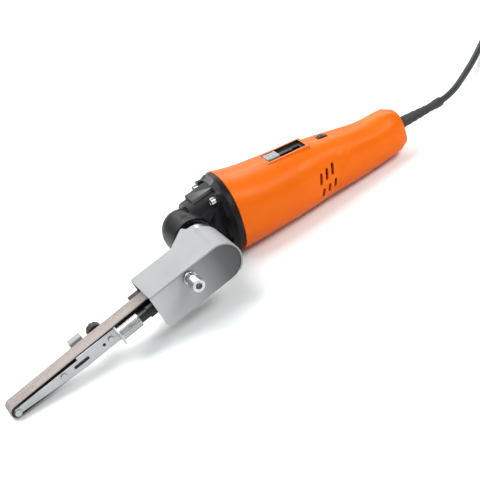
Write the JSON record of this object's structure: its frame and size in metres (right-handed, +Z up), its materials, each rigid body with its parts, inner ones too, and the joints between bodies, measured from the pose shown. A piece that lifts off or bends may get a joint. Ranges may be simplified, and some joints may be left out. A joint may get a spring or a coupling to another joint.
{
  "type": "belt power file",
  "caption": "Hand-held belt power file: tapered motor housing, right-angle gear head, sheet-metal belt guard and a sprung arm with a narrow abrasive belt and tip roller.",
  "frame": {"origin": "middle of the tool's footprint on the bench, cord left out", "axes": "+X from the arm's tip to the cord, +Y away from the belt side, +Z up"},
  "size_m": [0.7955, 0.2663, 0.0802],
  "materials": {
    "orange_shell": "fine moulded texture, satin",
    "black_casting": "satin black paint on die casting",
    "dark_steel": "black oxide",
    "bright_steel": "bright zinc and machined steel",
    "guard_sheet": "matt zinc-plated sheet",
    "black_rubber": "matt rubber",
    "black_plastic": "matt moulded",
    "grey_plastic": "matt moulded",
    "lamination": "varnished steel",
    "copper": "varnished copper and bronze",
    "carbon": "pressed carbon",
    "abrasive": "resin-bonded grain on cloth"
  },
  "bodies": {
    "tool": {"housing_near": "orange_shell", "housing_far": "orange_shell", "housing_screws": "dark_steel", "gear_head": "black_casting", "head_screws": "bright_steel", "head_seal": "black_rubber", "bearing_flange": "dark_steel", "collar_screws": "dark_steel", "front_bearing": "bright_steel", "rear_bearing": "bright_steel", "spindle_bearing": "bright_steel", "spindle_bush": "copper", "stator": "lamination", "field_coils": "copper", "brush_holders": "black_plastic", "brushes": "carbon", "switch_module": "black_plastic", "speed_control": "black_plastic", "cord_clamp": "black_plastic", "cord_sleeve": "black_rubber", "cord": "black_rubber", "cord_coil": "black_rubber", "cord_tail": "black_rubber", "coil_tie": "black_rubber", "plug_body": "black_plastic", "plug_pins": "bright_steel"},
    "rotor": {"motor_shaft": "bright_steel", "rotor_core": "lamination", "rotor_windings": "copper", "commutator": "copper", "fan": "black_plastic", "pinion": "lamination"},
    "spindle": {"spindle": "bright_steel", "bevel_gear": "lamination", "drive_wheel": "black_rubber", "wheel_nut": "bright_steel"},
    "file_unit": {"guard": "guard_sheet", "guard_clamp": "bright_steel", "clamp_screw": "dark_steel", "arm_carrier": "black_plastic", "guide_rod": "dark_steel", "guard_screw": "bright_steel"},
    "arm": {"arm_bar": "bright_steel", "near_plate": "bright_steel", "far_plate": "bright_steel", "platen": "bright_steel", "spring_tube": "bright_steel", "tension_spring": "bright_steel", "tracking_bracket": "bright_steel", "roller_axle": "bright_steel", "arm_screws": "dark_steel", "belt": "abrasive"},
    "tip_roller": {"tip_roller": "black_rubber"},
    "tracking_knob": {"tracking_knob": "black_plastic"},
    "switch_slider": {"switch_slider": "grey_plastic"},
    "speed_dial": {"speed_dial": "black_plastic"}
  },
  "joints": [
    {"name": "rotor_spin", "type": "hinge", "parent": "tool", "child": "rotor", "pos_m": [0.0431, 0.036, 0.03652], "axis": [0.995, 0, -0.0995], "continuous": true},
    {"name": "spindle_spin", "type": "hinge", "parent": "tool", "child": "spindle", "pos_m": [-0.0365, 0.036, 0.04448], "axis": [0, 1, 0], "continuous": true},
    {"name": "file_swivel", "type": "hinge", "parent": "tool", "child": "file_unit", "pos_m": [-0.0365, 0.036, 0.04448], "axis": [0, 1, 0], "range_deg": [-90, 90]},
    {"name": "arm_slide", "type": "slide", "parent": "file_unit", "child": "arm", "axis": [0.9863, 0, 0.1648], "range_m": [0, 0.006], "stiffness_N_per_m": 1500, "springref_m": -0.012, "deforming": ["tension_spring", "belt"]},
    {"name": "roller_spin", "type": "hinge", "parent": "arm", "child": "tip_roller", "pos_m": [-0.26138, -0.026, 0.0069], "axis": [0, 1, 0], "continuous": true},
    {"name": "tracking_turn", "type": "hinge", "parent": "arm", "child": "tracking_knob", "pos_m": [-0.16308, -0.011, 0.02535], "axis": [0, 1, 0], "range_deg": [-180, 180]},
    {"name": "switch_slide", "type": "slide", "parent": "tool", "child": "switch_slider", "axis": [0.995, 0, -0.0995], "range_m": [0, 0.008]},
    {"name": "dial_turn", "type": "hinge", "parent": "tool", "child": "speed_dial", "pos_m": [0.12804, 0.036, 0.05174], "axis": [0, 1, 0], "range_deg": [0, 270]}
  ],
  "couplings": [
    {"joint": "spindle_spin", "follows": "rotor_spin", "ratio": 0.3871},
    {"joint": "roller_spin", "follows": "rotor_spin", "ratio": 0.63343}
  ]
}
